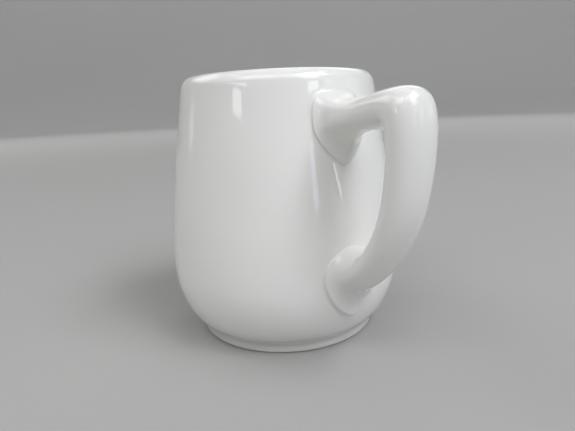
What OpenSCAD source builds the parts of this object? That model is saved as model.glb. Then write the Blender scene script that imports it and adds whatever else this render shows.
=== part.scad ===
// Shaving mug: a heavy barrel-shaped mug of glazed hotel china with one moulded handle.
// The origin is on the mug's axis at the face it stands on, +Z is up and the handle lies along +X.

/* [Body] */
// Height from the table to the top of the lip
mug_h = 92; // [90:1:100]
// Radius of the belly at its widest
belly_r = 42.2; // [41.5:0.1:43]
// Height at which the belly is widest
belly_z = 24; // [22:1:26]
// Outer radius where the wall meets the lip
rim_r = 34.4; // [33.5:0.1:35.5]
// Thickness of the wall, measured level
wall_t = 5.3; // [4:0.1:6]
// Thickness of the floor over the foot recess
floor_t = 5.5; // [4:0.5:8]

/* [Lip] */
// Height of the rounding on the outside of the lip
lip_outer_h = 4; // [3:0.1:4.5]
// Level width of the rounding on the outside of the lip
lip_outer_w = 4.4; // [3.5:0.1:4.5]
// Height of the rounding on the inside of the lip
lip_inner_h = 1.8; // [1:0.1:2]
// Level width of the rounding on the inside of the lip
lip_inner_w = 1.5; // [1:0.1:1.8]

/* [Foot] */
// Outer radius of the foot ring
foot_r = 33.2; // [32.5:0.1:33.4]
// Height of the foot ring up to the middle of the hollow under the belly
foot_h = 3.9; // [3.4:0.1:4.2]
// Width of the bare face that the mug stands on
foot_face_w = 5; // [4:0.1:6]
// Depth of the recess inside the foot ring
recess_depth = 2.5; // [1.5:0.1:3.5]

/* [Handle] */
// Width of the grip from side to side
grip_w = 15; // [13:0.1:16]
// How square the handle's section is, where 2 is an ellipse
section_power = 2.05; // [2:0.05:3]

/* [Slip joints] */
// Thickness of the fired slip between a plate and the wall
slip_t = 0.35; // [0.2:0.05:0.5]
// Width of the fillet of slip over the top of a plate
bead_w = 1.8; // [1:0.1:2.2]

/* [Hidden] */

china = "#f4f3ef";
slip_colour = "#e6e3dc";

// Points on one quarter of a ring, and so four times as many on the whole ring
quarter_n = 9;
ring_n = 4 * quarter_n;
// Steps along a curve of the body's profile
profile_n = 16;
// Steps between two of the handle's stations
station_n = 3;
// Steps from the edge of a plate to the first station
flare_n = 8;

// A plate is [top z, widest z, tip z, half width, top pull, shoulder pull, side pull, tip pull].
// The pulls are the lengths of the curve's handles, which set how full each corner is.
upper_plate = [84.8, 74, 63, 9.3, 8, 8.4, 3.6, 3];
lower_plate = [37.8, 28, 14.4, 10.4, 4, 6.5, 5.7, 3.9];

// A flare is five lists, each with its values at the plate's [top, sides, tip]: how many degrees its
// surface climbs from the wall, the radius of the plate's edge, the width of the fillet of slip as a
// share of bead_w, and how far the flare holds its direction at the plate and at the handle.
upper_flare = [[36, 24, 28], [0.7, 0.6, 0.8], [1, 0.83, 0.56], [0.3, 0.26, 0.55], [0.66, 0.55, 0.42]];
lower_flare = [[60, 14, -4], [1, 0.8, 1.2], [1, 0.72, 0.5], [0.3, 0.42, 0.55], [0.45, 0.35, 0.5]];

// The handle's stations from the upper plate to the lower one, as
// [outer reach, outer z, inner reach, inner z, share of grip_w]. Reach is measured from the belly.
stations = [
    [9.0, 83.0, 8.6, 73.2, 0.94],
    [15.3, 84.1, 14.1, 73.7, 0.94],
    [21.3, 84.8, 17.5, 74.1, 0.97],
    [26.4, 84.0, 18.3, 73.0, 1.00],
    [28.6, 78.2, 18.4, 70.8, 1.00],
    [28.7, 71.0, 18.4, 67.5, 0.99],
    [28.1, 63.5, 18.2, 62.5, 0.98],
    [26.6, 54.5, 17.1, 55.2, 0.97],
    [23.6, 45.6, 15.0, 48.2, 0.97],
    [18.3, 36.8, 11.5, 41.8, 0.99],
    [11.8, 29.8, 7.8, 38.2, 1.04],
];

// Rounding where a plate's back face turns into its edge
plate_back_round = 0.25;
// Height of the upright band between the slip and the rounded edge
plate_band = 0.05;
// Steps round the edge of a plate
edge_n = 3;
// How far a flare's direction is sampled from the edge, and how far it may lean along the edge
flare_ahead = 0.3;
flare_lean = 1.5;
// Least outward run that the lean is measured over
flare_run = 2;
// Rings of a plate's back face, as shares of its outline
back_shares = [0.3, 0.6, 0.85];
// Clearance that keeps the flat facets of the slip out of the round wall
seat = 0.01;

// ---- curves ----

function bezier_at(a, b, c, d, t) =
    pow(1 - t, 3) * a + 3 * pow(1 - t, 2) * t * b + 3 * (1 - t) * t * t * c + pow(t, 3) * d;

function bezier(a, b, c, d, n) = [for (i = [0 : n]) bezier_at(a, b, c, d, i / n)];

function without_first(list) = [for (i = [1 : len(list) - 1]) list[i]];

function reversed(list) = [for (i = [len(list) - 1 : -1 : 0]) list[i]];

// A quarter of an ellipse about a centre, from one angle to the other
function quarter_ellipse(centre, w, h, from, to, n) =
    [for (i = [0 : n]) let (a = from + (to - from) * i / n) centre + [w * cos(a), h * sin(a)]];

// One point of a uniform cubic B-spline through four neighbouring control points
function spline_at(a, b, c, d, t) =
    (pow(1 - t, 3) * a + (3 * pow(t, 3) - 6 * t * t + 4) * b
        + (-3 * pow(t, 3) + 3 * t * t + 3 * t + 1) * c + pow(t, 3) * d) / 6;

// A B-spline that starts at the first control point and ends at the last
function spline(points, n) =
    let (
        last = len(points) - 1,
        padded = concat([2 * points[0] - points[1]], points, [2 * points[last] - points[last - 1]])
    )
    [for (i = [0 : last - 1], k = [0 : n - (i == last - 1 ? 0 : 1)])
        spline_at(padded[i], padded[i + 1], padded[i + 2], padded[i + 3], k / n)];

// ---- the body's profile, as [radius, z] ----

// The hollow between the foot ring and the belly, centred on foot_h
hollow_w = 2.2;
hollow_h = 1.5;
hollow_end = [foot_r + hollow_w, foot_h + hollow_h];
hollow_curve = bezier([foot_r, foot_h - hollow_h], [foot_r, foot_h - 0.2 * hollow_h],
    [foot_r + 0.45 * hollow_w, foot_h + 0.4 * hollow_h], hollow_end, 6);

// Lengths of the belly curve's handles at the hollow, at the widest place and above it
hollow_pull = [2.8, 2];
belly_pull_down = 8.5;
belly_pull_up = 8;
belly_curve = bezier(hollow_end, hollow_end + hollow_pull,
    [belly_r, belly_z - belly_pull_down], [belly_r, belly_z], profile_n);

// The barrel's side straightens into a plain taper that runs up to the lip
taper_r = rim_r + 2.25;
taper_z = mug_h - 17.6;
taper_pull = [4, -24];
function side_curve(inset) = concat(
    bezier([belly_r - inset, belly_z], [belly_r - inset, belly_z + belly_pull_up],
        [taper_r - inset, taper_z] + taper_pull, [taper_r - inset, taper_z], profile_n),
    [[rim_r - inset, mug_h - lip_outer_h]]);

outer_curve = concat(hollow_curve, without_first(belly_curve), without_first(side_curve(0)));

// The inside runs down the wall and round a wide corner on to a flat floor
floor_z = recess_depth + floor_t;
corner_w = 16;
corner_pull_down = 9.5;
corner_pull_in = 11;
inner_r = belly_r - wall_t;
inner_belly_curve = bezier([inner_r, belly_z], [inner_r, belly_z - corner_pull_down],
    [inner_r - corner_w + corner_pull_in, floor_z], [inner_r - corner_w, floor_z], profile_n);

lip_top = [rim_r - lip_outer_w, mug_h];
lip_curve = concat(
    quarter_ellipse(lip_top - [0, lip_outer_h], lip_outer_w, lip_outer_h, 0, 90, 8),
    without_first(quarter_ellipse(lip_top - [0, lip_inner_h], lip_inner_w, lip_inner_h, 90, 180, 5)));

// Radius where the bare face ends inside, and the roundings at its two edges
foot_inner_r = foot_r - foot_face_w;
foot_edge_w = 0.6;
foot_edge_h = 0.3;
recess_slope_w = 3.8;
foot_curve = [
    [0, recess_depth],
    [foot_inner_r - foot_edge_w - recess_slope_w, recess_depth],
    [foot_inner_r - foot_edge_w - 0.6 * recess_slope_w, 0.85 * recess_depth],
    [foot_inner_r - foot_edge_w - 0.25 * recess_slope_w, 0.5 * recess_depth],
    [foot_inner_r - foot_edge_w - 0.1 * recess_slope_w, foot_edge_h],
    [foot_inner_r - foot_edge_w, 0],
    [foot_r - foot_edge_w, 0],
    [foot_r - foot_edge_w / 3, foot_edge_h],
    [foot_r, 3 * foot_edge_h],
];

body_outline = concat(
    foot_curve,
    outer_curve,
    without_first(lip_curve),
    reversed(side_curve(wall_t)),
    without_first(inner_belly_curve),
    [[0, floor_z]]);

// ---- the wall as the handle meets it ----

wall_table = [for (p = outer_curve) [p[1], p[0]]];

function wall_r(z) = lookup(z, wall_table);

function wall_lean(z) = wall_r(z + 0.5) - wall_r(z - 0.5);

// The place on the wall at [arc from the handle's plane, z], lifted off it by h
function on_wall(p, h) =
    let (
        r = wall_r(p[1]),
        lean = wall_lean(p[1]),
        slant = norm([1, lean]),
        turn = p[0] / r * 180 / PI
    )
    [(r + h / slant) * cos(turn), (r + h / slant) * sin(turn), p[1] - h * lean / slant];

// ---- plates and rings ----

// A plate's outline from its top round the +Y side to the tip and back, as [arc, z]
function outline(plate) =
    let (
        top = [0, plate[0]],
        side = [plate[3], plate[1]],
        tip = [0, plate[2]],
        upper = bezier(top, top + [plate[4], 0], side + [0, plate[5]], side, quarter_n),
        lower = bezier(side, side - [0, plate[6]], tip + [plate[7], 0], tip, quarter_n),
        half = concat(upper, without_first(lower))
    )
    concat(half, [for (i = [2 * quarter_n - 1 : -1 : 1]) [-half[i][0], half[i][1]]]);

function outward(points, i) =
    let (along = points[(i + 1) % ring_n] - points[(i + ring_n - 1) % ring_n])
    [-along[1], along[0]] / norm(along);

// A value that changes smoothly from a ring's top over its sides to its tip
function around(i, values) =
    let (up = cos(360 * i / ring_n), end = up > 0 ? values[0] : values[2])
    values[1] + (end - values[1]) * up * up;

// A point moved out from a plate's outline along the wall and lifted by h
function edge_point(points, i, off, h) = on_wall(points[i] + off * outward(points, i), h);

function edge_ring(plate, off, h) =
    let (points = outline(plate))
    [for (i = [0 : ring_n - 1]) edge_point(points, i, off, h)];

// A ring of the plate's outline shrunk towards its middle
function share_ring(plate, share, h) =
    let (middle = [0, plate[1]])
    [for (p = outline(plate)) on_wall(middle + share * (p - middle), h)];

function back_rings(plate, h) = [for (share = back_shares) share_ring(plate, share, h)];

// The plate's edge, turning from upright to the slope of the flare as share goes from 0 to 1
function rounded_ring(plate, flare, share, further = 0) =
    let (points = outline(plate), low = slip_t + plate_band)
    [for (i = [0 : ring_n - 1])
        let (
            climb = around(i, flare[0]),
            radius = around(i, flare[1]),
            a = (90 - climb) * share
        )
        edge_point(points, i, radius * (cos(a) - 1) - further * cos(climb),
            low + radius * sin(a) + further * sin(climb))];

function plate_edge_rings(plate, flare) = concat(
    [edge_ring(plate, -plate_back_round, slip_t)],
    [for (k = [0 : edge_n]) rounded_ring(plate, flare, k / edge_n)]);

function signed_power(v, power) = sign(v) * pow(abs(v), power);

// The handle's section at a station, from its outer side round +Y to its inner side and back
function section_ring(s) =
    let (
        outer = [belly_r + s[0], 0, s[1]],
        inner = [belly_r + s[2], 0, s[3]]
    )
    [for (i = [0 : ring_n - 1])
        let (a = 90 - 360 * i / ring_n)
        (outer + inner) / 2
            + signed_power(sin(a), 2 / section_power) * (outer - inner) / 2
            + signed_power(cos(a), 2 / section_power) * [0, s[4] * grip_w / 2, 0]];

function unit(v) = v / norm(v);

// Rings that sweep from the rounded edge of a plate out to the first ring of the handle
function flare_rings(plate, flare, target, axis) =
    let (
        start = rounded_ring(plate, flare, 1),
        ahead = rounded_ring(plate, flare, 1, flare_ahead)
    )
    [for (k = [1 : flare_n - 1])
        [for (i = [0 : ring_n - 1])
            let (
                along = unit(start[(i + 1) % ring_n] - start[(i + ring_n - 1) % ring_n]),
                up = unit(ahead[i] - start[i]),
                span = target[i] - start[i],
                lean = span * along / max(span * up, flare_run),
                leave = unit(up + along * max(-flare_lean, min(flare_lean, lean))),
                b = start[i] + leave * around(i, flare[3]) * norm(span),
                c = target[i] - axis * around(i, flare[4]) * (span * axis)
            )
            bezier_at(start[i], b, c, target[i], k / flare_n)]];

// The direction from one station to the next, along the middle of the handle
function station_axis(s, next) =
    unit([next[0] + next[2] - s[0] - s[2], 0, next[1] + next[3] - s[1] - s[3]]);

// The inner side of the handle faces up at the lower plate, so its station is read the other way round
function swapped(s) = [s[2], s[3], s[0], s[1], s[4]];

function turned(ring) = [for (i = [0 : ring_n - 1]) ring[(6 * quarter_n - i) % ring_n]];

function terminal_rings(plate, flare, station, axis) = concat(
    back_rings(plate, slip_t),
    plate_edge_rings(plate, flare),
    flare_rings(plate, flare, section_ring(station), axis));

// A closed skin over rings of points, with a point at each end
module skin(first, rings, last) {
    points = concat([first], [for (ring = rings) each ring], [last]);
    end = len(points) - 1;
    top = end - ring_n;
    polyhedron(points, concat(
        [for (i = [0 : ring_n - 1]) [0, 1 + (i + 1) % ring_n, 1 + i]],
        [for (r = [0 : len(rings) - 2], i = [0 : ring_n - 1])
            let (a = 1 + r * ring_n + i, b = 1 + r * ring_n + (i + 1) % ring_n)
            each [[a, b, b + ring_n], [a, b + ring_n, a + ring_n]]],
        [for (i = [0 : ring_n - 1]) [top + i, top + (i + 1) % ring_n, end]]), convexity = 6);
}

// ---- the sub-parts ----

module mug_body() {
    color(china) rotate_extrude($fn = 144) polygon(body_outline);
}

module handle() {
    along = spline(stations, station_n);
    end = len(along) - 1;
    upper = terminal_rings(upper_plate, upper_flare, along[0], station_axis(along[0], along[1]));
    lower = terminal_rings(lower_plate, lower_flare, swapped(along[end]),
        station_axis(along[end], along[end - 1]));
    rings = concat(upper, [for (s = along) section_ring(s)], [for (ring = reversed(lower)) turned(ring)]);
    color(china) skin(on_wall([0, upper_plate[1]], slip_t), rings, on_wall([0, lower_plate[1]], slip_t));
}

// The fired slip under a plate, with the fillet that was sponged smooth around it
module slip_joint(plate, flare) {
    middle = [0, plate[1]];
    points = outline(plate);
    bead = [for (i = [0 : ring_n - 1]) bead_w * around(i, flare[2])];
    under = concat(back_rings(plate, seat), [edge_ring(plate, -plate_back_round, seat)],
        [for (share = [0.5, 1]) [for (i = [0 : ring_n - 1]) edge_point(points, i, share * bead[i], seat)]]);
    fillet = [for (a = [30 : 30 : 90])
        [for (i = [0 : ring_n - 1]) edge_point(points, i, bead[i] * (1 - sin(a)),
            seat + (slip_t + plate_band - seat) * (1 - cos(a)))]];
    over = concat([edge_ring(plate, -plate_back_round, slip_t)], reversed(back_rings(plate, slip_t)));
    color(slip_colour) skin(on_wall(middle, seat), concat(under, fillet, over), on_wall(middle, slip_t));
}

module upper_slip_joint() slip_joint(upper_plate, upper_flare);

module lower_slip_joint() slip_joint(lower_plate, lower_flare);

mug_body();
handle();
upper_slip_joint();
lower_slip_joint();
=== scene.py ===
import math

import bpy
from mathutils import Matrix, Vector
from mathutils.bvhtree import BVHTree


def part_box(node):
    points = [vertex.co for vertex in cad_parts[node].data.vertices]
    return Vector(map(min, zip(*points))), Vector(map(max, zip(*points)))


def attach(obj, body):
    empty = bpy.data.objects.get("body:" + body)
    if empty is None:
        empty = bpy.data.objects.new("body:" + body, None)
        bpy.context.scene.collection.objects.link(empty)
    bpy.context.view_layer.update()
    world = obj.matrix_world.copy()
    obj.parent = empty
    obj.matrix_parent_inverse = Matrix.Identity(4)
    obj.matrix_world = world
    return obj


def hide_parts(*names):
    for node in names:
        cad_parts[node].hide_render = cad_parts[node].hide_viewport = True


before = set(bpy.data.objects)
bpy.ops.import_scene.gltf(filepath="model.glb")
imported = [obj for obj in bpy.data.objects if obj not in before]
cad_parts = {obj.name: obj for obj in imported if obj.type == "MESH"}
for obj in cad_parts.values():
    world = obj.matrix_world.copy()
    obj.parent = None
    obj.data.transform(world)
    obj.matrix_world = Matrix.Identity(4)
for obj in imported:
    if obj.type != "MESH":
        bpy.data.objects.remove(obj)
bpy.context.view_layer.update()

# A barrel-shaped mug of glazed hotel china. The axis is Z, the handle lies along +X.
# Sizes in the dictionaries are millimetres and degrees, the scene is in metres.
mm = 0.001
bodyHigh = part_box("mug_body")[1]
mugHeight = bodyHigh.z / mm
bellyRadius = bodyHigh.x / mm


def hexColour(text):
    # sRGB hex to the linear values that shaders want
    channels = [int(text[i:i + 2], 16) / 255 for i in (1, 3, 5)]
    return (*[c / 12.92 if c <= 0.04045 else ((c + 0.055) / 1.055) ** 2.4 for c in channels], 1.0)


def patternScale(sizeMm):
    # texture scale whose features are about sizeMm across
    return 1 / (sizeMm * mm)


def addNode(tree, kind, inputs=None, **settings):
    made = tree.nodes.new(kind)
    for name, value in settings.items():
        setattr(made, name, value)
    for name, value in (inputs or {}).items():
        if isinstance(value, bpy.types.NodeSocket):
            tree.links.new(value, made.inputs[name])
        else:
            made.inputs[name].default_value = value
    return made


def newMaterial(name):
    material = bpy.data.materials.new(name)
    material.use_nodes = True
    tree = material.node_tree
    tree.nodes.clear()
    return material, tree


def levelWay(turn):
    return Vector((math.cos(turn), math.sin(turn), 0))


# camera: close to the mug, 30 degrees round from the handle, looking a little down
camera = {
    "azimuth": -30.0,
    "distance": 169.9,
    "height": 80.2,
    "pitch": 13.37,
    "yaw": 0.53,
    "roll": -2.62,
    "lens": 28.17,
    "sensor": 36.0,
}


def makeCamera():
    data = bpy.data.cameras.new("camera")
    data.lens = camera["lens"]
    data.sensor_width = camera["sensor"]
    data.sensor_fit = "HORIZONTAL"
    data.clip_start = 0.01
    data.clip_end = 20.0
    made = bpy.data.objects.new("camera", data)
    bpy.context.collection.objects.link(made)
    azimuth, pitch = math.radians(camera["azimuth"]), math.radians(camera["pitch"])
    level = levelWay(azimuth + math.pi - math.radians(camera["yaw"]))
    right = level.cross(Vector((0, 0, 1)))
    forward = level * math.cos(pitch) - Vector((0, 0, math.sin(pitch)))
    up = right.cross(forward)
    turn = Matrix.Rotation(-math.radians(camera["roll"]), 3, forward)
    right, up = turn @ right, turn @ up
    place = levelWay(azimuth) * camera["distance"] * mm
    place.z = camera["height"] * mm
    axes = Matrix((right, up, -forward)).transposed()
    made.matrix_world = Matrix.Translation(place) @ axes.to_4x4()
    bpy.context.scene.camera = made


makeCamera()
print("camera placed")


# materials

glaze = {
    "white": "#f1f0ec",       # the china body seen through clear glaze
    "mottle": "#e9e9e6",      # where the glaze is a little thicker
    "pooledGlazeAndShade": "#dededa",      # greyer where the glaze pools thick, and painted shade in the hollow above the foot and the creases round the plates
    "speck": "#8d857b",       # iron specks in the clay
    "mottleSize": 26.0,
    "waveSize": 11.0,
    "waveHeight": 0.012,
    "peelSize": 1.6,
    "peelHeight": 0.0009,
    "speckSpacing": 14.0,
    "speckRadius": 0.16,
    "speckShare": 0.45,       # of the pattern's cells, how many hold a speck
    "roughness": 0.04,
    "refraction": 1.52,
}


def glazedChina():
    # vitreous hotel china, dipped in clear feldspathic glaze and fired glossy: a faintly warm white
    # with soft, slightly wavering reflections
    material, tree = newMaterial("glazedVitreousChina")
    coord = addNode(tree, "ShaderNodeTexCoord").outputs["Object"]
    mottle = addNode(tree, "ShaderNodeTexNoise", {
        "Vector": coord, "Scale": patternScale(glaze["mottleSize"]), "Detail": 3.0, "Roughness": 0.45})
    shade = addNode(tree, "ShaderNodeMix", {
        0: mottle.outputs["Fac"], 6: hexColour(glaze["white"]), 7: hexColour(glaze["mottle"])},
        data_type="RGBA")
    # painted shade: the glaze is mixed toward the pooled grey where the stored amount is high, in the hollow
    # above the foot and the creases round the plates; partly real pooled glaze, partly standing in for shade
    poolAndShadeMask = addNode(tree, "ShaderNodeAttribute", attribute_name="glazePoolAndShade")
    pooledGlazeAndShade = addNode(tree, "ShaderNodeMix", {
        0: poolAndShadeMask.outputs["Fac"], 6: shade.outputs[2], 7: hexColour(glaze["pooledGlazeAndShade"])}, data_type="RGBA")
    cells = addNode(tree, "ShaderNodeTexVoronoi", {
        "Vector": coord, "Scale": patternScale(glaze["speckSpacing"])})
    speckEdge = glaze["speckRadius"] / glaze["speckSpacing"]
    speckNear = addNode(tree, "ShaderNodeMapRange", {
        "Value": cells.outputs["Distance"], "From Min": speckEdge * 0.5, "From Max": speckEdge * 1.5,
        "To Min": 1.0, "To Max": 0.0})
    speckPick = addNode(tree, "ShaderNodeSeparateColor", {"Color": cells.outputs["Color"]})
    speckSome = addNode(tree, "ShaderNodeMath", {0: speckPick.outputs[0], 1: glaze["speckShare"]},
                        operation="LESS_THAN")
    speck = addNode(tree, "ShaderNodeMath", {0: speckNear.outputs[0], 1: speckSome.outputs[0]},
                    operation="MULTIPLY")
    colour = addNode(tree, "ShaderNodeMix", {
        0: speck.outputs[0], 6: pooledGlazeAndShade.outputs[2], 7: hexColour(glaze["speck"])}, data_type="RGBA")
    peel = addNode(tree, "ShaderNodeTexNoise", {
        "Vector": coord, "Scale": patternScale(glaze["peelSize"]), "Detail": 1.0})
    wave = addNode(tree, "ShaderNodeTexNoise", {
        "Vector": coord, "Scale": patternScale(glaze["waveSize"]), "Detail": 2.0, "Roughness": 0.4})
    waveBump = addNode(tree, "ShaderNodeBump", {
        "Height": wave.outputs["Fac"], "Distance": glaze["waveHeight"] * mm, "Strength": 1.0})
    peelBump = addNode(tree, "ShaderNodeBump", {
        "Height": peel.outputs["Fac"], "Distance": glaze["peelHeight"] * mm, "Strength": 1.0,
        "Normal": waveBump.outputs["Normal"]})
    surface = addNode(tree, "ShaderNodeBsdfPrincipled", {
        "Base Color": colour.outputs[2], "Roughness": glaze["roughness"], "IOR": glaze["refraction"],
        "Normal": peelBump.outputs["Normal"]})
    addNode(tree, "ShaderNodeOutputMaterial", {"Surface": surface.outputs["BSDF"]})
    return material


bareClay = {
    "clay": "#d9d2c4",
    "rubbed": "#b3aa9b",
    "grainSize": 0.35,
    "stainSize": 9.0,
    "grainHeight": 0.02,
    "rubbedFrom": 0.45,       # the part of the stain pattern that shows as rubbed, and how much at most
    "rubbedTo": 0.8,
    "rubbedMost": 0.7,
    "roughness": 0.8,
}


def bareChina():
    # the same china where the glaze was wiped off before firing: matt, faintly gritty, and greyed
    # where it has been slid about on shelves
    material, tree = newMaterial("bareFiredChina")
    coord = addNode(tree, "ShaderNodeTexCoord").outputs["Object"]
    grain = addNode(tree, "ShaderNodeTexNoise", {
        "Vector": coord, "Scale": patternScale(bareClay["grainSize"]), "Detail": 2.0})
    stain = addNode(tree, "ShaderNodeTexNoise", {
        "Vector": coord, "Scale": patternScale(bareClay["stainSize"]), "Detail": 4.0, "Roughness": 0.6})
    rubbed = addNode(tree, "ShaderNodeMapRange", {
        "Value": stain.outputs["Fac"], "From Min": bareClay["rubbedFrom"], "From Max": bareClay["rubbedTo"],
        "To Max": bareClay["rubbedMost"]})
    colour = addNode(tree, "ShaderNodeMix", {
        0: rubbed.outputs[0], 6: hexColour(bareClay["clay"]), 7: hexColour(bareClay["rubbed"])},
        data_type="RGBA")
    bump = addNode(tree, "ShaderNodeBump", {
        "Height": grain.outputs["Fac"], "Distance": bareClay["grainHeight"] * mm})
    surface = addNode(tree, "ShaderNodeBsdfPrincipled", {
        "Base Color": colour.outputs[2], "Roughness": bareClay["roughness"],
        "Normal": bump.outputs["Normal"]})
    addNode(tree, "ShaderNodeOutputMaterial", {"Surface": surface.outputs["BSDF"]})
    return material


def poolGlazeAndPaintShade(piece, depth):
    # stores, 0 to 1, how far the glaze greys at each point, for the material to read: partly thicker pooled
    # glaze, partly painted shade in hollows and creases
    layer = piece.data.attributes.new("glazePoolAndShade", "FLOAT", "POINT")
    shadeAmounts = [depth(vertex.co / mm) for vertex in piece.data.vertices]
    layer.data.foreach_set("value", [max(0.0, min(1.0, d)) for d in shadeAmounts])


glazedMaterial = glazedChina()
bareMaterial = bareChina()
print("materials made")


# the turned pieces: a profile drawn as a Bezier curve, spun by Geometry Nodes

weldDistance = 0.002


def spinTree():
    tree = bpy.data.node_groups.new("spinProfile", "GeometryNodeTree")
    tree.interface.new_socket("Geometry", in_out="INPUT", socket_type="NodeSocketGeometry")
    for name, kind in (("Segments", "NodeSocketInt"), ("Wobble", "NodeSocketFloat"),
                       ("Wobble Size", "NodeSocketFloat"), ("Material", "NodeSocketMaterial")):
        tree.interface.new_socket(name, in_out="INPUT", socket_type=kind)
    tree.interface.new_socket("Geometry", in_out="OUTPUT", socket_type="NodeSocketGeometry")
    given = addNode(tree, "NodeGroupInput").outputs
    line = addNode(tree, "GeometryNodeCurveToMesh", {"Curve": given["Geometry"]}).outputs["Mesh"]
    count = addNode(tree, "GeometryNodeAttributeDomainSize", {"Geometry": line}, component="MESH")
    around = addNode(tree, "ShaderNodeMath", {0: given["Segments"], 1: 1.0}, operation="ADD")
    grid = addNode(tree, "GeometryNodeMeshGrid", {
        "Vertices X": around.outputs[0], "Vertices Y": count.outputs["Point Count"]})
    share = addNode(tree, "ShaderNodeSeparateXYZ", {"Vector": grid.outputs["UV Map"]})
    lastRow = addNode(tree, "ShaderNodeMath", {0: count.outputs["Point Count"], 1: 1.0},
                      operation="SUBTRACT")
    row = addNode(tree, "ShaderNodeMath", {0: share.outputs["Y"], 1: lastRow.outputs[0]},
                  operation="MULTIPLY")
    rowNumber = addNode(tree, "ShaderNodeMath", {0: row.outputs[0]}, operation="ROUND")
    place = addNode(tree, "GeometryNodeInputPosition")
    drawn = addNode(tree, "GeometryNodeSampleIndex", {
        "Geometry": line, "Value": place.outputs[0], "Index": rowNumber.outputs[0]},
        data_type="FLOAT_VECTOR", domain="POINT")
    turn = addNode(tree, "ShaderNodeMath", {0: share.outputs["X"], 1: math.tau}, operation="MULTIPLY")
    spun = addNode(tree, "ShaderNodeVectorRotate", {
        "Vector": drawn.outputs[0], "Angle": turn.outputs[0]}, rotation_type="Z_AXIS")
    placed = addNode(tree, "GeometryNodeSetPosition", {
        "Geometry": grid.outputs["Mesh"], "Position": spun.outputs[0]})
    closed = addNode(tree, "GeometryNodeMergeByDistance", {
        "Geometry": placed.outputs[0], "Distance": weldDistance * mm})
    # hand finishing leaves the wall very slightly out of true
    unevenness = addNode(tree, "ShaderNodeTexNoise", {
        "Vector": place.outputs[0], "Scale": given["Wobble Size"], "Detail": 1.0})
    centred = addNode(tree, "ShaderNodeMath", {0: unevenness.outputs["Fac"], 1: 0.5},
                      operation="SUBTRACT")
    depth = addNode(tree, "ShaderNodeMath", {0: centred.outputs[0], 1: given["Wobble"]},
                    operation="MULTIPLY")
    flat = addNode(tree, "ShaderNodeVectorMath", {0: place.outputs[0], 1: (1.0, 1.0, 0.0)},
                   operation="MULTIPLY")
    outward = addNode(tree, "ShaderNodeVectorMath", {0: flat.outputs[0]}, operation="NORMALIZE")
    push = addNode(tree, "ShaderNodeVectorMath", {0: outward.outputs[0], "Scale": depth.outputs[0]},
                   operation="SCALE")
    wobbled = addNode(tree, "GeometryNodeSetPosition", {
        "Geometry": closed.outputs[0], "Offset": push.outputs[0]})
    smooth = addNode(tree, "GeometryNodeSetShadeSmooth", {"Geometry": wobbled.outputs[0]})
    whole = addNode(tree, "GeometryNodeRealizeInstances", {"Geometry": smooth.outputs[0]})
    painted = addNode(tree, "GeometryNodeSetMaterial", {
        "Geometry": whole.outputs[0], "Material": given["Material"]})
    addNode(tree, "NodeGroupOutput", {"Geometry": painted.outputs[0]})
    return tree


def profileCurve(name, knots, steps):
    # each knot is (handle before, point, handle after) as (radius, z) in millimetres
    curve = bpy.data.curves.new(name, "CURVE")
    curve.dimensions = "3D"
    curve.resolution_u = steps
    spline = curve.splines.new("BEZIER")
    spline.bezier_points.add(len(knots) - 1)
    for point, (before, at, after) in zip(spline.bezier_points, knots):
        point.handle_left_type = point.handle_right_type = "FREE"
        point.co = (at[0] * mm, 0, at[1] * mm)
        point.handle_left = (before[0] * mm, 0, before[1] * mm)
        point.handle_right = (after[0] * mm, 0, after[1] * mm)
    return curve


def spunPiece(name, settings, corners, material, tree):
    # the settings hold each knot measured from one of the corners, which are (radius, z)
    knots = [[(corners[corner][0] + across, corners[corner][1] + up) for across, up in knot]
             for corner, knot in settings["profile"]]
    curve = profileCurve(name + "Profile", knots, settings["profileSteps"])
    holder = bpy.data.objects.new(curve.name, curve)
    bpy.context.collection.objects.link(holder)
    modifier = holder.modifiers.new("spin", "NODES")
    modifier.node_group = tree
    given = {"Segments": settings["segments"], "Wobble": settings["wobble"] * mm,
             "Wobble Size": patternScale(settings["wobbleSize"]), "Material": material}
    for item in tree.interface.items_tree:
        if item.item_type == "SOCKET" and item.in_out == "INPUT" and item.name in given:
            modifier[item.identifier] = given[item.name]
    graph = bpy.context.evaluated_depsgraph_get()
    mesh = bpy.data.meshes.new_from_object(holder.evaluated_get(graph), depsgraph=graph)
    bpy.data.objects.remove(holder)
    return placeMesh(name, mesh, material)


def placeMesh(name, mesh, material):
    mesh.name = name
    mesh.materials.clear()
    mesh.materials.append(material)
    made = bpy.data.objects.new(name, mesh)
    bpy.context.collection.objects.link(made)
    return made


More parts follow.
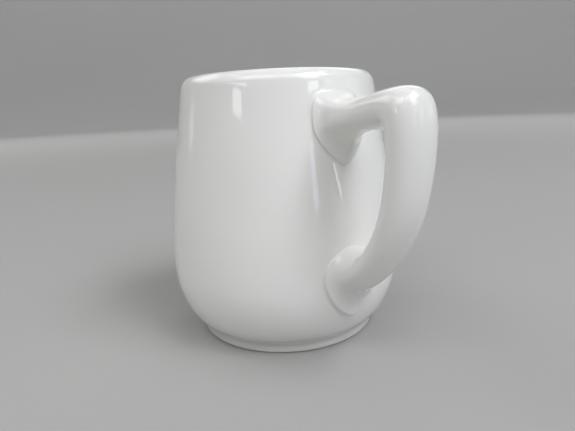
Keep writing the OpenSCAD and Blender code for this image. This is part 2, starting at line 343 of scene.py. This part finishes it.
body = {
    "wall": 5.3,
    "bellyHeight": 24.0,
    "rimRadius": 34.4,
    "taperRadius": 36.65,
    "taperHeight": 74.4,
    "floor": 8.0,
    "recess": 2.6,
    "footRadius": 33.2,
    "footFace": 5.0,
    "footCorner": 0.6,
    "glazeLine": 0.4,
    # the height of the hollow above the foot, and how far over it the glaze greys, as pooled glaze and
    # painted shade
    "hollow": 3.6,
    "hollowShadeReach": 4.8,
    "profileSteps": 11,
    "segments": 288,
    "wobble": 0.05,
    "wobbleSize": 34.0,
    # Bezier knots of (handle before, point, handle after), from the middle of the foot recess, out under
    # the foot, up the barrel, over the lip and down the inside to the middle of the floor
    "profile": (
        ("recessMiddle", ((0, 0), (0, 0), (8, 0))),
        ("recessEdge", ((-12.6, 0), (-4.4, -0.1), (-2.2, -0.2))),
        ("footInside", ((-0.9, 1.3), (-0.6, 0.5), (-0.5, 0.2))),
        ("footInside", ((-0.3, 0), (0, 0), (2, 0))),
        ("footOutside", ((-2.3, 0), (-0.35, 0), (-0.15, 0))),
        ("footOutside", ((0, 0.15), (0, 0.4), (0, 0.8))),
        ("footOutside", ((-0.02, 1.6), (0, 2.0), (0.05, 3.2))),
        ("footOutside", ((1.0, 4.1), (2.2, 5.0), (5.0, 7.0))),
        ("belly", ((0, -8.5), (0, 0), (0, 8))),
        ("taper", ((4.0, -24), (0, 0), (-0.75, 4.5))),
        ("rim", ((0.6, -7.5), (0, -4), (-0.3, -1.8))),
        ("rim", ((-2.0, 0), (-4.4, 0), (-5.2, 0))),
        ("rim", ((-5.9, -0.8), (-5.9, -1.8), (-5.8, -4))),
        ("taperInside", ((-0.5, 3), (0, 0), (4.0, -24))),
        ("bellyInside", ((0, 8), (0, 0), (0, -9.5))),
        ("floorEdge", ((-5, 0), (-16, 0), (-24, 0))),
        ("floorMiddle", ((6, 0), (0, 0), (0, 0))),
    ),
}


def bodyCorners():
    foot, inner = body["footRadius"], body["footRadius"] - body["footFace"] - body["footCorner"]
    insideBelly = bellyRadius - body["wall"]
    return {
        "recessMiddle": (0, body["recess"]),
        "recessEdge": (inner, body["recess"]),
        "footInside": (inner, body["glazeLine"]),
        "footOutside": (foot, body["glazeLine"]),
        "belly": (bellyRadius, body["bellyHeight"]),
        "taper": (body["taperRadius"], body["taperHeight"]),
        "rim": (body["rimRadius"], mugHeight),
        "taperInside": (body["taperRadius"] - body["wall"], body["taperHeight"]),
        "bellyInside": (insideBelly, body["bellyHeight"]),
        "floorEdge": (insideBelly, body["floor"]),
        "floorMiddle": (0, body["floor"]),
    }


# the bare ring that the mug stands on, its top buried in the glazed body
bareRing = {
    "inset": 0.25,
    "width": 5.7,
    "cover": 0.6,
    "profileSteps": 6,
    "segments": 192,
    "wobble": 0.0,
    "wobbleSize": 34.0,
    "profile": (
        ("topOutside", ((0, 0), (0, 0), (-2, 0))),
        ("topInside", ((2, 0), (0, 0), (0, -0.3))),
        ("lineInside", ((0, 0.2), (0, 0), (0, -0.15))),
        ("faceInside", ((0.3, 0), (0.6, 0), (2, 0))),
        ("faceOutside", ((-2, 0), (-0.6, 0), (-0.3, 0))),
        ("lineOutside", ((0, -0.15), (0, 0), (0, 0.2))),
        ("topOutside", ((0, 0), (0, 0), (0, 0))),
    ),
}


def ringCorners():
    outer, line = body["footRadius"] - bareRing["inset"], body["glazeLine"]
    inner, top = outer - bareRing["width"], line + bareRing["cover"]
    return {
        "topOutside": (outer, top), "lineOutside": (outer, line), "faceOutside": (outer, 0),
        "topInside": (inner, top), "lineInside": (inner, line), "faceInside": (inner, 0),
    }


spin = spinTree()
mugBody = spunPiece("mugBody", body, bodyCorners(), glazedMaterial, spin)
footRing = spunPiece("bareFootRing", bareRing, ringCorners(), bareMaterial, spin)
# painted shade, with pooled glaze: the body greys towards the hollow above the foot
poolGlazeAndPaintShade(mugBody, lambda p: 1 - (p.z - body["hollow"]) / body["hollowShadeReach"])
print("body spun", len(mugBody.data.polygons), "faces")


# the wall as the handle meets it, measured on the finished body

def bezierAt(a, b, c, d, t):
    s = 1 - t
    return a * s ** 3 + b * 3 * s * s * t + c * 3 * s * t * t + d * t ** 3


wallSurface = BVHTree.FromPolygons([v.co for v in mugBody.data.vertices],
                                   [f.vertices for f in mugBody.data.polygons])


def wallRadius(turn, z):
    inward, far = -levelWay(turn), 2 * bellyRadius
    hit = wallSurface.ray_cast((-inward * far + Vector((0, 0, z))) * mm, inward)
    return far - hit[3] / mm


def onWall(arc, z, lift):
    # arc is measured round the wall from the middle of the handle, lift away from the wall's face
    turn = arc / wallRadius(0, z)
    radius, lean = wallRadius(turn, z), wallRadius(turn, z + 0.5) - wallRadius(turn, z - 0.5)
    slant = math.hypot(1, lean)
    out = radius + lift / slant
    return Vector((out * math.cos(turn), out * math.sin(turn), z - lift * lean / slant))


# the handle: rings of points from the upper plate along the grip to the lower plate

handle = {
    "gripWidth": 15.0,
    "sectionPower": 2.05,
    "quarter": 24,
    "stationSteps": 14,
    "flareSteps": 30,
    "edgeSteps": 10,
    "edgeBand": 0.05,
    # the rings that close a plate's back, as shares of its outline, the last one inset behind its edge
    "backShares": (0.3, 0.6, 0.85),
    "backInset": 0.25,
    # how far ahead the flare's start is read, how far it may lean along the edge, its shortest run
    "flareAhead": 0.3,
    "leanMost": 1.5,
    "runLeast": 2.0,
    "slip": 0.35,
    "slipSteps": 12,
    "slipSink": 0.02,
    # how far the glaze greys in the slip's crease, partly pooled glaze and partly painted shade
    "slipPoolShade": 0.5,
    # size, waves round the plate and start of each part of the slip's unevenness
    "slipWaver": ((0.12, 3, 0.9), (0.09, 7, 2.1), (0.05, 12, 4.0)),
    # outer reach from the belly, outer z, inner reach, inner z, share of the grip's width
    "stations": [
        (9.0, 83.0, 8.6, 73.2, 0.94),
        (15.3, 84.1, 14.1, 73.7, 0.94),
        (21.3, 84.8, 17.5, 74.1, 0.97),
        (26.4, 84.0, 18.3, 73.0, 1.00),
        (28.6, 78.2, 18.4, 70.8, 1.00),
        (28.7, 71.0, 18.4, 67.5, 0.99),
        (28.1, 63.5, 18.2, 62.5, 0.98),
        (26.6, 54.5, 17.1, 55.2, 0.97),
        (23.6, 45.6, 15.0, 48.2, 0.97),
        (18.3, 36.8, 11.5, 41.8, 0.99),
        (11.8, 29.8, 7.8, 38.2, 1.04),
    ],
}

# a plate's outline: heights of its top, widest place and tip, and how far its corners are pulled out;
# then, at its top, sides and tip: how steeply its surface climbs from its edge in degrees, the rounding
# of that edge, the width of the glaze in the crease, and how far the flare holds to the plate and the grip
upperPlate = {
    "top": 84.8, "wide": 74.0, "tip": 63.0, "half": 9.3,
    "topPull": 8.0, "shoulderPull": 8.4, "sidePull": 3.6, "tipPull": 3.0,
    "climb": (36, 24, 28), "rounding": (0.7, 0.6, 0.8), "crease": (1.8, 1.5, 1.0),
    "holdPlate": (0.30, 0.26, 0.55), "holdGrip": (0.66, 0.55, 0.42),
}
lowerPlate = {
    "top": 37.8, "wide": 28.0, "tip": 14.4, "half": 10.4,
    "topPull": 4.0, "shoulderPull": 6.5, "sidePull": 5.7, "tipPull": 3.9,
    "climb": (60, 14, -4), "rounding": (1.0, 0.8, 1.2), "crease": (2.0, 1.3, 0.9),
    "holdPlate": (0.30, 0.42, 0.55), "holdGrip": (0.45, 0.35, 0.50),
}
ringCount = 4 * handle["quarter"]


def plateOutline(plate):
    quarter = handle["quarter"]
    top, tip = Vector((0, plate["top"])), Vector((0, plate["tip"]))
    side, along, up = Vector((plate["half"], plate["wide"])), Vector((1, 0)), Vector((0, 1))
    shoulder = (top, top + along * plate["topPull"], side + up * plate["shoulderPull"], side)
    flank = (side, side - up * plate["sidePull"], tip + along * plate["tipPull"], tip)
    half = [bezierAt(*shoulder, k / quarter) for k in range(quarter)]
    half += [bezierAt(*flank, k / quarter) for k in range(quarter + 1)]
    return half + [Vector((-p.x, p.y)) for p in half[-2:0:-1]]


def around(i, values):
    # a value that changes smoothly from a ring's top over its sides to its tip
    top, side, tip = values
    up = math.cos(math.tau * i / ringCount)
    return side + ((top if up > 0 else tip) - side) * up * up


def edgePoint(points, i, out, lift):
    # a point on the wall, out from the outline's own point and lifted off the wall
    along = (points[(i + 1) % ringCount] - points[i - 1]).normalized()
    return onWall(points[i].x - along.y * out, points[i].y + along.x * out, lift)


def backRings(plate, lift, insetLift):
    # from the middle of a plate's back out to just inside its edge
    points, middle = plateOutline(plate), Vector((0, plate["wide"]))
    rings = [[onWall(*(middle + (p - middle) * share), lift) for p in points]
             for share in handle["backShares"]]
    return rings + [[edgePoint(points, i, -handle["backInset"], insetLift) for i in range(ringCount)]]


def roundedRing(plate, share, further=0.0):
    # the plate's edge, turning from upright to the slope of the flare as share goes from 0 to 1
    points, low = plateOutline(plate), handle["slip"] + handle["edgeBand"]
    ring = []
    for i in range(ringCount):
        climb, radius = math.radians(around(i, plate["climb"])), around(i, plate["rounding"])
        turn = (math.pi / 2 - climb) * share
        out = radius * (math.cos(turn) - 1) - further * math.cos(climb)
        ring.append(edgePoint(points, i, out, low + radius * math.sin(turn) + further * math.sin(climb)))
    return ring


def signedPower(value, power):
    return math.copysign(abs(value) ** power, value)


def sectionRing(station):
    outer = Vector((bellyRadius + station[0], 0, station[1]))
    inner = Vector((bellyRadius + station[2], 0, station[3]))
    power, side = 2 / handle["sectionPower"], Vector((0, station[4] * handle["gripWidth"] / 2, 0))
    ring = []
    for i in range(ringCount):
        angle = math.pi / 2 - math.tau * i / ringCount
        ring.append((outer + inner) / 2 + (outer - inner) / 2 * signedPower(math.sin(angle), power)
                    + side * signedPower(math.cos(angle), power))
    return ring


def flareRings(plate, target, axis):
    start, ahead = roundedRing(plate, 1), roundedRing(plate, 1, handle["flareAhead"])
    leanMost = handle["leanMost"]
    curves = []
    for i, (a, b, d) in enumerate(zip(start, ahead, target)):
        along = (start[(i + 1) % ringCount] - start[i - 1]).normalized()
        leave, span = (b - a).normalized(), d - a
        # lean the start along the edge, so that neighbours run side by side up to the grip
        lean = span.dot(along) / max(span.dot(leave), handle["runLeast"])
        leave = (leave + along * max(-leanMost, min(leanMost, lean))).normalized()
        first = a + leave * around(i, plate["holdPlate"]) * span.length
        last = d - axis * around(i, plate["holdGrip"]) * span.dot(axis)
        curves.append((a, first, last, d))
    steps = handle["flareSteps"]
    return [[bezierAt(*curve, k / steps) for curve in curves] for k in range(1, steps)]


def splinePoints(points, steps):
    # uniform cubic B-spline that starts at the first point and ends at the last
    padded = [points[0] * 2 - points[1], *points, points[-1] * 2 - points[-2]]
    made = []
    for a, b, c, d in zip(padded, padded[1:], padded[2:], padded[3:]):
        for k in range(steps):
            t = k / steps
            made.append((a * (1 - t) ** 3 + b * (3 * t ** 3 - 6 * t * t + 4)
                         + c * (-3 * t ** 3 + 3 * t * t + 3 * t + 1) + d * t ** 3) / 6)
    return made + [points[-1]]


def middleWay(station, following):
    # the way that the middle of the grip runs from one station to the next
    way = Vector((following[0] + following[2] - station[0] - station[2], 0,
                  following[1] + following[3] - station[1] - station[3]))
    return way.normalized()


def terminalRings(plate, station, axis):
    slip, steps = handle["slip"], handle["edgeSteps"]
    edge = [roundedRing(plate, k / steps) for k in range(steps + 1)]
    return backRings(plate, slip, slip) + edge + flareRings(plate, sectionRing(station), axis)


def skinMesh(name, first, rings, last, material, sharpRings):
    # a closed skin over rings of points with a point at each end
    points = [first] + [p for ring in rings for p in ring] + [last]
    faces = [(0, 1 + i, 1 + (i + 1) % ringCount) for i in range(ringCount)]
    for r in range(len(rings) - 1):
        for i in range(ringCount):
            a, b = 1 + r * ringCount + i, 1 + r * ringCount + (i + 1) % ringCount
            faces.append((a, a + ringCount, b + ringCount, b))
    top = 1 + (len(rings) - 1) * ringCount
    faces += [(top + i, len(points) - 1, top + (i + 1) % ringCount) for i in range(ringCount)]
    mesh = bpy.data.meshes.new(name)
    mesh.from_pydata([p * mm for p in points], [], faces)
    mesh.polygons.foreach_set("use_smooth", [True] * len(mesh.polygons))
    for edge in mesh.edges:
        a, b = [(v - 1) // ringCount for v in edge.vertices]
        edge.use_edge_sharp = a == b and a in sharpRings
    mesh.update()
    return placeMesh(name, mesh, material)


def makeHandle():
    stations = [Vector(s) for s in handle["stations"]]
    along = splinePoints(stations, handle["stationSteps"])
    first, last = along[0], along[-1]
    swapped = Vector((last[2], last[3], last[0], last[1], last[4]))  # the inner side faces up here
    upper = terminalRings(upperPlate, first, middleWay(first, along[1]))
    lower = terminalRings(lowerPlate, swapped, middleWay(last, along[-2]))
    turned = [[ring[(6 * handle["quarter"] - i) % ringCount] for i in range(ringCount)]
              for ring in reversed(lower)]
    rings = upper + [sectionRing(s) for s in along] + turned
    edgeFoot = len(handle["backShares"]) + 1  # the sharp ring where a plate's edge leaves its back
    return skinMesh("mugHandle", onWall(0, upperPlate["wide"], handle["slip"]), rings,
                    onWall(0, lowerPlate["wide"], handle["slip"]), glazedMaterial,
                    (edgeFoot, len(rings) - 1 - edgeFoot))


def slipReach(i, plate):
    # how far the slip runs out from the plate, wavering where a wet finger smoothed it
    angle = math.tau * i / ringCount
    waver = sum(size * math.sin(times * angle + start) for size, times, start in handle["slipWaver"])
    return around(i, plate["crease"]) * (1 + waver)


def makeSlipJoint(name, plate):
    # sunk a little into the wall, so that no gap shows where it thins out
    slip, band, steps, sink = handle["slip"], handle["edgeBand"], handle["slipSteps"], handle["slipSink"]
    points = plateOutline(plate)
    rings = backRings(plate, 0, -sink)
    for share in (0.5, 1):
        rings.append([edgePoint(points, i, share * slipReach(i, plate), -sink) for i in range(ringCount)])
    for k in range(1, steps + 1):
        # a hollow quarter round from the wall up to the plate's edge
        turn = math.pi / 2 * k / steps
        rings.append([edgePoint(points, i, slipReach(i, plate) * (1 - math.sin(turn)),
                                (slip + band) * (1 - math.cos(turn))) for i in range(ringCount)])
    plateEdge, middle = len(rings) - 1, plate["wide"]
    rings += backRings(plate, slip, slip)[::-1]
    return skinMesh(name, onWall(0, middle, 0), rings, onWall(0, middle, slip), glazedMaterial, (plateEdge,))


handlePiece = makeHandle()
upperSlip = makeSlipJoint("upperSlipJoint", upperPlate)
lowerSlip = makeSlipJoint("lowerSlipJoint", lowerPlate)
# painted shade, with pooled glaze: each slip greys from its outer edge towards the crease at the plate
for joint in (upperSlip, lowerSlip):
    poolGlazeAndPaintShade(joint, lambda p: handle["slipPoolShade"] * (
        math.hypot(p.x, p.y) - wallRadius(math.atan2(p.y, p.x), p.z)) / handle["slip"])
print("handle and slip joints made", len(handlePiece.data.polygons), "faces")

for piece, node, slot in ((mugBody, "mug_body", "glazed_china"),
                          (handlePiece, "handle", "glazed_china"),
                          (upperSlip, "upper_slip_joint", "glazed_slip"),
                          (lowerSlip, "lower_slip_joint", "glazed_slip")):
    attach(piece, "root")
    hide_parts(node)
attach(footRing, "root")


# stage: a pale floor that sweeps up far away on every side, and soft studio lights

stage = {
    "floor": "#abaaa8",
    "wall": "#dededc",
    "floorRoughness": 0.9,
    "floorSpecular": 0.2,
    "middleRadius": 0.3,
    "floorRadius": 2.6,
    "paleFrom": 0.4,
    "sweepRise": 1.3,
    "sweepSteps": 24,
    "sweepSegments": 96,
    "worldColour": "#e4e8f0",
    "worldStrength": 0.02,
    "aim": (10.0, 0.0, 50.0),
    "lightDistance": 2.4,
    "lights": [
        # name, azimuth and elevation from the mug, tilt, width and height in metres, watts, colour
        ("skyRight", 30, 55, 0, 1.4, 1.2, 23.0, "#f9fbff"),
        ("skyMiddle", 0, 52, 0, 1.7, 1.2, 8.4, "#f9fbff"),
        ("windowHigh", 12, 38, 0, 1.15, 0.95, 7.6, "#f9fbff"),
        ("skyLeft", -60, 54, 0, 2.0, 1.25, 14.3, "#fcfdff"),
        ("ceilingLeft", -90, 42, 0, 2.2, 1.6, 3.8, "#fcfdff"),
        ("backLeft", -150, 40, 0, 2.2, 1.35, 9.6, "#ffffff"),
        ("backRight", 135, 36, 0, 2.2, 1.35, 6.0, "#ffffff"),
        ("tallWindow", 31, 15, 0, 0.6, 1.0, 1.5, "#eef2ff"),
        ("windowLeft", -76.2, 18.6, 0, 0.43, 0.155, 0.8, "#ffffff"),
        ("transomLeft", -79, 23.2, 0, 1.1, 0.11, 1.5, "#ffffff"),
        ("windowRight", 11, 21.3, 0, 0.5, 0.11, 0.75, "#f2f6ff"),
        ("curtainGap", 3, 7, 0, 0.25, 0.55, 1.2, "#d8e2ff"),
        ("doorGap", 28, 4, 38, 0.07, 0.36, 0.34, "#ffffff"),
        ("doorLeft", -141, 8, 0, 0.5, 0.36, 0.25, "#ffffff"),
        ("sideRight", 62, 12, 0, 1.7, 0.9, 2.2, "#e8ecff"),
    ],
    # bare window panes, which have hard edges; every other light shines through a diffuser
    "panes": ("windowLeft", "transomLeft", "windowRight", "curtainGap", "doorGap"),
    "diffuserEdge": 0.3,
    # lights turned away from the mug, which light only the wall
    "washCount": 4,
    "washTurn": 150,
    "washOut": 1.2,
    "washHeight": 2.2,
    "washAimOut": 3.6,
    "washAimHeight": 0.3,
    "wash": (0, 1.5, 0.6, 9.5, "#ffffff"),
}


def makeFloor():
    steps, segments = stage["sweepSteps"], stage["sweepSegments"]
    radius, rise = stage["floorRadius"], stage["sweepRise"]
    profile = [(stage["middleRadius"], 0.0), (radius, 0.0)]
    for k in range(1, steps + 1):
        angle = math.pi / 2 * k / steps
        profile.append((radius + rise * math.sin(angle), rise * (1 - math.cos(angle))))
    points, faces = [(0, 0, 0)], []
    for distance, z in profile:
        for i in range(segments):
            angle = math.tau * i / segments
            points.append((distance * math.cos(angle), distance * math.sin(angle), z))
    faces += [(0, 1 + i, 1 + (i + 1) % segments) for i in range(segments)]
    for r in range(len(profile) - 1):
        for i in range(segments):
            a, b = 1 + r * segments + i, 1 + r * segments + (i + 1) % segments
            faces.append((a, a + segments, b + segments, b))
    mesh = bpy.data.meshes.new("floor")
    mesh.from_pydata(points, [], faces)
    mesh.polygons.foreach_set("use_smooth", [True] * len(mesh.polygons))
    material, tree = newMaterial("mattPaperSweep")
    coord = addNode(tree, "ShaderNodeTexCoord").outputs["Object"]
    away = addNode(tree, "ShaderNodeVectorMath", {0: coord}, operation="LENGTH")
    paler = addNode(tree, "ShaderNodeMapRange", {
        "Value": away.outputs["Value"], "From Min": stage["paleFrom"], "From Max": radius},
        interpolation_type="SMOOTHSTEP")
    colour = addNode(tree, "ShaderNodeMix", {
        0: paler.outputs[0], 6: hexColour(stage["floor"]), 7: hexColour(stage["wall"])}, data_type="RGBA")
    surface = addNode(tree, "ShaderNodeBsdfPrincipled", {
        "Base Color": colour.outputs[2], "Roughness": stage["floorRoughness"],
        "Specular IOR Level": stage["floorSpecular"]})
    addNode(tree, "ShaderNodeOutputMaterial", {"Surface": surface.outputs["BSDF"]})
    placeMesh("floor", mesh, material)


def softenEdges(data, edge):
    # a diffuser is brightest in the middle and fades over its border; the watts stay the same
    data.use_nodes = True
    tree = data.node_tree
    tree.nodes.clear()
    across = addNode(tree, "ShaderNodeNewGeometry").outputs["Parametric"]
    share = addNode(tree, "ShaderNodeSeparateXYZ", {"Vector": across})
    glow = 1 / (1 - edge) ** 2
    for axis in ("X", "Y"):
        centred = addNode(tree, "ShaderNodeMath", {0: share.outputs[axis], 1: 0.5},
                          operation="SUBTRACT")
        middle = addNode(tree, "ShaderNodeMath", {0: centred.outputs[0]}, operation="ABSOLUTE")
        fade = addNode(tree, "ShaderNodeMapRange", {
            "Value": middle.outputs[0], "From Min": 0.5 - edge, "From Max": 0.5,
            "To Min": 1.0, "To Max": 0.0}, interpolation_type="SMOOTHSTEP")
        faded = addNode(tree, "ShaderNodeMath", {0: fade.outputs[0], 1: glow}, operation="MULTIPLY")
        glow = faded.outputs[0]
    lit = addNode(tree, "ShaderNodeEmission", {"Strength": glow})
    addNode(tree, "ShaderNodeOutputLight", {"Surface": lit.outputs[0]})


def makeLight(name, place, aim, tilt, width, height, watts, colour):
    data = bpy.data.lights.new(name, "AREA")
    data.shape = "RECTANGLE"
    data.size, data.size_y = width, height
    data.energy = watts
    data.color = hexColour(colour)[:3]
    if name not in stage["panes"]:
        softenEdges(data, stage["diffuserEdge"])
    lamp = bpy.data.objects.new(name, data)
    lamp.location = place
    facing = (aim - place).to_track_quat("-Z", "Y").to_matrix()
    lamp.rotation_euler = (facing @ Matrix.Rotation(math.radians(tilt), 3, "Z")).to_euler()
    bpy.context.collection.objects.link(lamp)


def makeLights():
    aim = Vector(stage["aim"]) * mm
    for name, azimuth, elevation, *shape in stage["lights"]:
        away = levelWay(math.radians(azimuth)) * math.cos(math.radians(elevation))
        away.z = math.sin(math.radians(elevation))
        makeLight(name, aim + away * stage["lightDistance"], aim, *shape)
    for k in range(stage["washCount"]):
        away = levelWay(math.radians(stage["washTurn"]) + math.tau * k / stage["washCount"])
        place, washAim = away * stage["washOut"], away * stage["washAimOut"]
        place.z, washAim.z = stage["washHeight"], stage["washAimHeight"]
        makeLight("wash%d" % k, place, washAim, *stage["wash"])
    world = bpy.data.worlds.new("studio")
    world.use_nodes = True
    background = world.node_tree.nodes["Background"]
    background.inputs["Color"].default_value = hexColour(stage["worldColour"])
    background.inputs["Strength"].default_value = stage["worldStrength"]
    bpy.context.scene.world = world
    bpy.context.scene.view_settings.view_transform = "Standard"


makeFloor()
makeLights()
print("stage and lights set")
